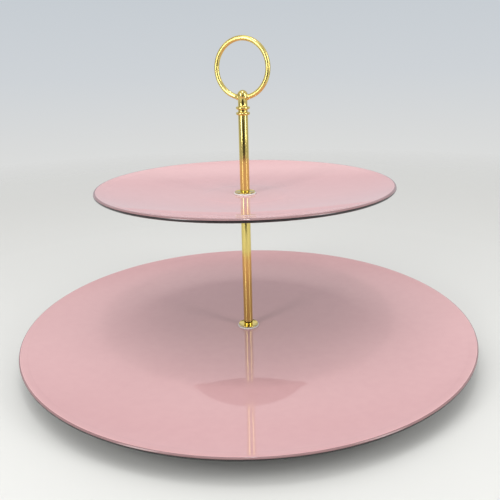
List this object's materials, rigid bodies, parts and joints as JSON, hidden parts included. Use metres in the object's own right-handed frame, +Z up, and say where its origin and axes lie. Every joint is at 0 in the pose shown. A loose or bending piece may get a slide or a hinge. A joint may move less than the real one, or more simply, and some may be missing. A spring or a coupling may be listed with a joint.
{
  "type": "two-tier cake stand",
  "caption": "Two-tier cake stand: round dished plates threaded on a metal post, topped by a carrying ring.",
  "frame": {"origin": "on the post's axis at table level, under the lower plate's foot ring", "axes": "+Z up along the post; the carrying ring stands in the XZ plane, so its finger hole looks along Y"},
  "size_m": [0.33, 0.33, 0.22],
  "materials": {
    "plate_lacquer": "high gloss dusty pink on top and edge, gloss black underneath",
    "gold_finish": "polished bright gold",
    "insert_brass": "plain turned brass",
    "clear_plastic": "clear flexible plastic",
    "zinc_steel": "zinc plated"
  },
  "bodies": {
    "base": {"lower_plate": "plate_lacquer"},
    "post": {"lower_rod": "gold_finish", "lower_rod_bottom_insert": "insert_brass", "lower_rod_top_insert": "insert_brass", "lower_plate_top_washer": "gold_finish", "lower_plate_top_gasket": "clear_plastic", "lower_plate_bottom_gasket": "clear_plastic", "upper_plate_bottom_washer": "gold_finish", "upper_plate_bottom_gasket": "clear_plastic"},
    "top_plate": {"upper_plate": "plate_lacquer", "upper_plate_top_gasket": "clear_plastic", "upper_plate_top_washer": "gold_finish"},
    "rod_joiner": {"upper_stud": "zinc_steel"},
    "upper_post": {"upper_rod": "gold_finish", "upper_rod_bottom_insert": "insert_brass", "upper_rod_top_insert": "insert_brass"},
    "handle_joiner": {"handle_stud": "zinc_steel"},
    "handle": {"handle_finial": "gold_finish", "handle_ring": "gold_finish"},
    "base_washer": {"lower_plate_bottom_washer": "gold_finish"},
    "base_fastener": {"base_screw": "zinc_steel"}
  },
  "joints": [
    {"name": "post_turn", "type": "hinge", "parent": "base", "child": "post", "pos_m": [0, 0, 0.01], "axis": [0, 0, 1], "continuous": true},
    {"name": "upper_plate_turn", "type": "hinge", "parent": "post", "child": "top_plate", "pos_m": [0, 0, 0.1136], "axis": [0, 0, 1], "continuous": true},
    {"name": "upper_rod_lift", "type": "slide", "parent": "post", "child": "rod_joiner", "axis": [0, 0, 1], "range_m": [0, 0.0056]},
    {"name": "upper_rod_unscrew", "type": "hinge", "parent": "rod_joiner", "child": "upper_post", "pos_m": [0, 0, 0.11505], "axis": [0, 0, 1], "range_deg": [0, 2880]},
    {"name": "handle_lift", "type": "slide", "parent": "upper_post", "child": "handle_joiner", "axis": [0, 0, 1], "range_m": [0, 0.0056]},
    {"name": "handle_unscrew", "type": "hinge", "parent": "handle_joiner", "child": "handle", "pos_m": [0, 0, 0.16865], "axis": [0, 0, 1], "range_deg": [0, 2880]},
    {"name": "base_screw_drop", "type": "slide", "parent": "post", "child": "base_washer", "axis": [0, 0, -1], "range_m": [0, 0.0056]},
    {"name": "base_screw_unscrew", "type": "hinge", "parent": "base_washer", "child": "base_fastener", "pos_m": [0, 0, 0.005], "axis": [0, 0, -1], "range_deg": [0, 2880]}
  ],
  "couplings": [
    {"joint": "upper_rod_unscrew", "follows": "upper_rod_lift", "rad_per_m": 8976},
    {"joint": "handle_unscrew", "follows": "handle_lift", "rad_per_m": 8976},
    {"joint": "base_screw_unscrew", "follows": "base_screw_drop", "rad_per_m": 8976}
  ]
}
